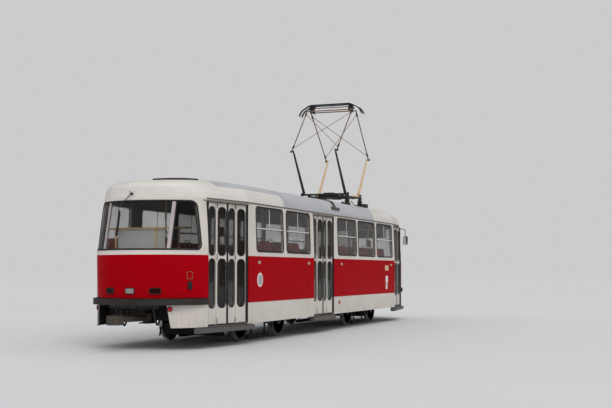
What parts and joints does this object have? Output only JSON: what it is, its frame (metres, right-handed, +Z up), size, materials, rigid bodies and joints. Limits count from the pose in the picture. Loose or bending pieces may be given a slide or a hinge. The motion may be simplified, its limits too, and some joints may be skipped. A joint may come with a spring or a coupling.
{
  "type": "four-axle bogie tram",
  "caption": "Single-ended bogie tram with a rounded body, folding doors on one side and a diamond pantograph",
  "frame": {"origin": "on the ground plane at the flanges' lowest point, under the middle of the car", "axes": "+X to the front of the car, +Y to its left, +Z up"},
  "size_m": [15.104, 2.573, 5.664],
  "materials": {
    "shell": "red and cream paint",
    "roof_paint": "matt grey paint",
    "glass": "clear",
    "black_rubber": "matt",
    "floor_covering": "ribbed",
    "grey_steel": "worn",
    "seat_plastic": "moulded",
    "rail_enamel": "yellow enamel",
    "cab_panel": "satin",
    "lamp_glass": "clear",
    "dark_steel": "grimy",
    "wheel_steel": "worn",
    "door_leaf": "painted"
  },
  "bodies": {
    "body": {"bolsters": "dark_steel", "bumpers": "black_rubber", "cab_partition": "cab_panel", "coupler_brackets": "dark_steel", "door_sills": "grey_steel", "door_steps": "floor_covering", "driver_desk": "cab_panel", "driver_seat": "seat_plastic", "end_glass": "glass", "end_shell_front": "shell", "end_shell_rear": "shell", "floor": "floor_covering", "handrails": "rail_enamel", "lamps": "lamp_glass", "mirrors": "black_rubber", "pantograph_base": "dark_steel", "roof_equipment": "grey_steel", "roof_hood": "roof_paint", "roof_shell": "roof_paint", "seats": "seat_plastic", "side_glass": "glass", "side_wall_left": "shell", "side_wall_right": "shell", "skirts": "shell", "underfloor_equipment": "dark_steel", "underframe": "dark_steel"},
    "bogie_rear": {"bogie_frame_rear": "dark_steel", "bogie_drive_rear": "dark_steel", "rail_brakes_rear": "dark_steel"},
    "wheelset_rear_outer": {"wheelset_rear_outer": "wheel_steel"},
    "wheelset_rear_inner": {"wheelset_rear_inner": "wheel_steel"},
    "coupler_rear": {"coupler_rear": "dark_steel"},
    "bogie_front": {"bogie_frame_front": "dark_steel", "bogie_drive_front": "dark_steel", "rail_brakes_front": "dark_steel"},
    "wheelset_front_outer": {"wheelset_front_outer": "wheel_steel"},
    "wheelset_front_inner": {"wheelset_front_inner": "wheel_steel"},
    "coupler_front": {"coupler_front": "dark_steel"},
    "rear_door_rear_outer_leaf": {"rear_door_rear_outer_leaf": "door_leaf"},
    "rear_door_rear_inner_leaf": {"rear_door_rear_inner_leaf": "door_leaf"},
    "rear_door_front_outer_leaf": {"rear_door_front_outer_leaf": "door_leaf"},
    "rear_door_front_inner_leaf": {"rear_door_front_inner_leaf": "door_leaf"},
    "middle_door_rear_outer_leaf": {"middle_door_rear_outer_leaf": "door_leaf"},
    "middle_door_rear_inner_leaf": {"middle_door_rear_inner_leaf": "door_leaf"},
    "middle_door_front_outer_leaf": {"middle_door_front_outer_leaf": "door_leaf"},
    "middle_door_front_inner_leaf": {"middle_door_front_inner_leaf": "door_leaf"},
    "front_door_rear_outer_leaf": {"front_door_rear_outer_leaf": "door_leaf"},
    "front_door_rear_inner_leaf": {"front_door_rear_inner_leaf": "door_leaf"},
    "front_door_front_outer_leaf": {"front_door_front_outer_leaf": "door_leaf"},
    "front_door_front_inner_leaf": {"front_door_front_inner_leaf": "door_leaf"},
    "pantograph_lower_front": {"pantograph_lower_front": "dark_steel"},
    "pantograph_upper_front": {"pantograph_upper_front": "dark_steel"},
    "pantograph_lower_rear": {"pantograph_lower_rear": "dark_steel"},
    "pantograph_upper_rear": {"pantograph_upper_rear": "dark_steel"},
    "collector_head": {"collector_head": "grey_steel"}
  },
  "joints": [
    {"name": "bogie_rear_swivel", "type": "hinge", "parent": "body", "child": "bogie_rear", "pos_m": [-3.2, 0, 0.6], "axis": [0, 0, 1], "range_deg": [-10, 10]},
    {"name": "wheelset_rear_outer_spin", "type": "hinge", "parent": "bogie_rear", "child": "wheelset_rear_outer", "pos_m": [-4.15, 0, 0.372], "axis": [0, 1, 0], "continuous": true},
    {"name": "wheelset_rear_inner_spin", "type": "hinge", "parent": "bogie_rear", "child": "wheelset_rear_inner", "pos_m": [-2.25, 0, 0.372], "axis": [0, 1, 0], "continuous": true},
    {"name": "coupler_rear_swing", "type": "hinge", "parent": "body", "child": "coupler_rear", "pos_m": [-6.35, 0, 0.525], "axis": [0, 0, 1], "range_deg": [-20, 20]},
    {"name": "bogie_front_swivel", "type": "hinge", "parent": "body", "child": "bogie_front", "pos_m": [3.2, 0, 0.6], "axis": [0, 0, 1], "range_deg": [-10, 10]},
    {"name": "wheelset_front_outer_spin", "type": "hinge", "parent": "bogie_front", "child": "wheelset_front_outer", "pos_m": [4.15, 0, 0.372], "axis": [0, 1, 0], "continuous": true},
    {"name": "wheelset_front_inner_spin", "type": "hinge", "parent": "bogie_front", "child": "wheelset_front_inner", "pos_m": [2.25, 0, 0.372], "axis": [0, 1, 0], "continuous": true},
    {"name": "coupler_front_swing", "type": "hinge", "parent": "body", "child": "coupler_front", "pos_m": [6.35, 0, 0.525], "axis": [0, 0, 1], "range_deg": [-20, 20]},
    {"name": "rear_door_rear_outer_fold", "type": "hinge", "parent": "body", "child": "rear_door_rear_outer_leaf", "pos_m": [-6.09501, -1.01272, 1.4], "axis": [0, 0, 1], "range_deg": [0, 75]},
    {"name": "rear_door_rear_inner_fold", "type": "hinge", "parent": "rear_door_rear_outer_leaf", "child": "rear_door_rear_inner_leaf", "pos_m": [-5.78143, -1.04928, 1.4], "axis": [0, 0, 1], "range_deg": [-150, 0]},
    {"name": "rear_door_front_outer_fold", "type": "hinge", "parent": "body", "child": "rear_door_front_outer_leaf", "pos_m": [-4.84987, -1.19215, 1.4], "axis": [0, 0, 1], "range_deg": [-75, 0]},
    {"name": "rear_door_front_inner_fold", "type": "hinge", "parent": "rear_door_front_outer_leaf", "child": "rear_door_front_inner_leaf", "pos_m": [-5.16101, -1.13869, 1.4], "axis": [0, 0, 1], "range_deg": [0, 150]},
    {"name": "middle_door_rear_outer_fold", "type": "hinge", "parent": "body", "child": "middle_door_rear_outer_leaf", "pos_m": [-1.356, -1.197, 1.4], "axis": [0, 0, 1], "range_deg": [0, 75]},
    {"name": "middle_door_rear_inner_fold", "type": "hinge", "parent": "middle_door_rear_outer_leaf", "child": "middle_door_rear_inner_leaf", "pos_m": [-1.04042, -1.18846, 1.4], "axis": [0, 0, 1], "range_deg": [-150, 0]},
    {"name": "middle_door_front_outer_fold", "type": "hinge", "parent": "body", "child": "middle_door_front_outer_leaf", "pos_m": [-0.098, -1.197, 1.4], "axis": [0, 0, 1], "range_deg": [-75, 0]},
    {"name": "middle_door_front_inner_fold", "type": "hinge", "parent": "middle_door_front_outer_leaf", "child": "middle_door_front_inner_leaf", "pos_m": [-0.41358, -1.18846, 1.4], "axis": [0, 0, 1], "range_deg": [0, 150]},
    {"name": "front_door_rear_outer_fold", "type": "hinge", "parent": "body", "child": "front_door_rear_outer_leaf", "pos_m": [4.84987, -1.19215, 1.4], "axis": [0, 0, 1], "range_deg": [0, 75]},
    {"name": "front_door_rear_inner_fold", "type": "hinge", "parent": "front_door_rear_outer_leaf", "child": "front_door_rear_inner_leaf", "pos_m": [5.16101, -1.13869, 1.4], "axis": [0, 0, 1], "range_deg": [-150, 0]},
    {"name": "front_door_front_outer_fold", "type": "hinge", "parent": "body", "child": "front_door_front_outer_leaf", "pos_m": [6.09501, -1.01272, 1.4], "axis": [0, 0, 1], "range_deg": [-75, 0]},
    {"name": "front_door_front_inner_fold", "type": "hinge", "parent": "front_door_front_outer_leaf", "child": "front_door_front_inner_leaf", "pos_m": [5.78143, -1.04928, 1.4], "axis": [0, 0, 1], "range_deg": [0, 150]},
    {"name": "pantograph_lower_front_swing", "type": "hinge", "parent": "body", "child": "pantograph_lower_front", "pos_m": [3.82, 0, 3.282], "axis": [0, 1, 0], "range_deg": [-5, 37]},
    {"name": "pantograph_upper_front_swing", "type": "hinge", "parent": "pantograph_lower_front", "child": "pantograph_upper_front", "pos_m": [4.6, 0, 4.322], "axis": [0, 1, 0], "range_deg": [-71.78, 9.7]},
    {"name": "pantograph_lower_rear_swing", "type": "hinge", "parent": "body", "child": "pantograph_lower_rear", "pos_m": [2.78, 0, 3.282], "axis": [0, 1, 0], "range_deg": [-37, 5]},
    {"name": "pantograph_upper_rear_swing", "type": "hinge", "parent": "pantograph_lower_rear", "child": "pantograph_upper_rear", "pos_m": [2, 0, 4.322], "axis": [0, 1, 0], "range_deg": [-9.7, 71.78]},
    {"name": "collector_head_level", "type": "hinge", "parent": "pantograph_upper_rear", "child": "collector_head", "pos_m": [3.15, 0, 5.492], "axis": [0, 1, 0], "range_deg": [-34.78, 4.7]}
  ],
  "couplings": [
    {"joint": "rear_door_rear_inner_fold", "follows": "rear_door_rear_outer_fold", "ratio": -2},
    {"joint": "rear_door_front_outer_fold", "follows": "rear_door_rear_outer_fold", "ratio": -1},
    {"joint": "rear_door_front_inner_fold", "follows": "rear_door_rear_outer_fold", "ratio": 2},
    {"joint": "middle_door_rear_inner_fold", "follows": "middle_door_rear_outer_fold", "ratio": -2},
    {"joint": "middle_door_front_outer_fold", "follows": "middle_door_rear_outer_fold", "ratio": -1},
    {"joint": "middle_door_front_inner_fold", "follows": "middle_door_rear_outer_fold", "ratio": 2},
    {"joint": "front_door_rear_inner_fold", "follows": "front_door_rear_outer_fold", "ratio": -2},
    {"joint": "front_door_front_outer_fold", "follows": "front_door_rear_outer_fold", "ratio": -1},
    {"joint": "front_door_front_inner_fold", "follows": "front_door_rear_outer_fold", "ratio": 2},
    {"joint": "pantograph_upper_front_swing", "follows": "pantograph_lower_front_swing", "ratio": -1.94},
    {"joint": "pantograph_lower_rear_swing", "follows": "pantograph_lower_front_swing", "ratio": -1},
    {"joint": "pantograph_upper_rear_swing", "follows": "pantograph_lower_front_swing", "ratio": 1.94},
    {"joint": "collector_head_level", "follows": "pantograph_lower_front_swing", "ratio": -0.94}
  ]
}
